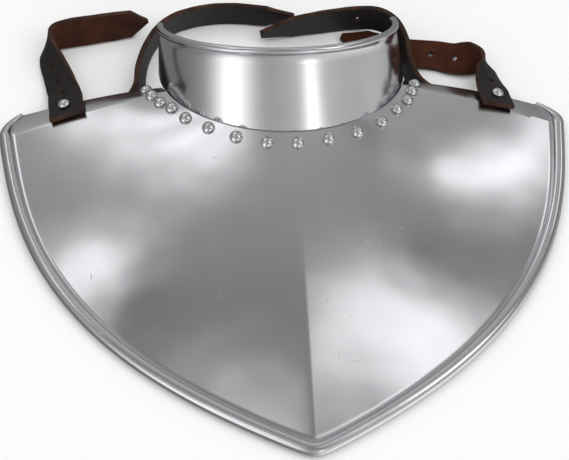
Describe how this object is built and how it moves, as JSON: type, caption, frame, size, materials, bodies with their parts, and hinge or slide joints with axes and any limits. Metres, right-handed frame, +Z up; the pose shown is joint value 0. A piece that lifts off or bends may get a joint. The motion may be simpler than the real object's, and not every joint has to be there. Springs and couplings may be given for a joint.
{
  "type": "steel gorget",
  "caption": "Heart-shaped steel throat and upper-chest guard with a central ridge, rolled rim, riveted neck collar and loose leather straps.",
  "frame": {"origin": "middle of the bounding box's underside, on the surface that the rolled rim rests on", "axes": "+X across the shoulders, to the right in the picture; -Y towards the plate's point; +Z up, away from the resting surface"},
  "size_m": [0.3318, 0.3024, 0.0839],
  "materials": {
    "plate_steel": "satin, finely scratched",
    "collar_steel": "satin, brushed round the neck",
    "rivet_steel": "polished domes",
    "strap_leather": "dark grain side, red-brown flesh side"
  },
  "bodies": {
    "root": {"chest_plate": "plate_steel", "neck_collar": "collar_steel", "collar_rivet_01": "rivet_steel", "collar_rivet_02": "rivet_steel", "collar_rivet_03": "rivet_steel", "collar_rivet_04": "rivet_steel", "collar_rivet_05": "rivet_steel", "collar_rivet_06": "rivet_steel", "collar_rivet_07": "rivet_steel", "collar_rivet_08": "rivet_steel", "collar_rivet_09": "rivet_steel", "collar_rivet_10": "rivet_steel", "collar_rivet_11": "rivet_steel", "collar_rivet_12": "rivet_steel", "collar_rivet_13": "rivet_steel", "collar_rivet_14": "rivet_steel", "collar_rivet_15": "rivet_steel", "collar_rivet_16": "rivet_steel", "shoulder_rivet_left": "rivet_steel", "shoulder_rivet_right": "rivet_steel", "shoulder_strap_left": "strap_leather", "shoulder_strap_right": "strap_leather", "neck_strap_left": "strap_leather", "neck_strap_right": "strap_leather"}
  },
  "joints": []
}
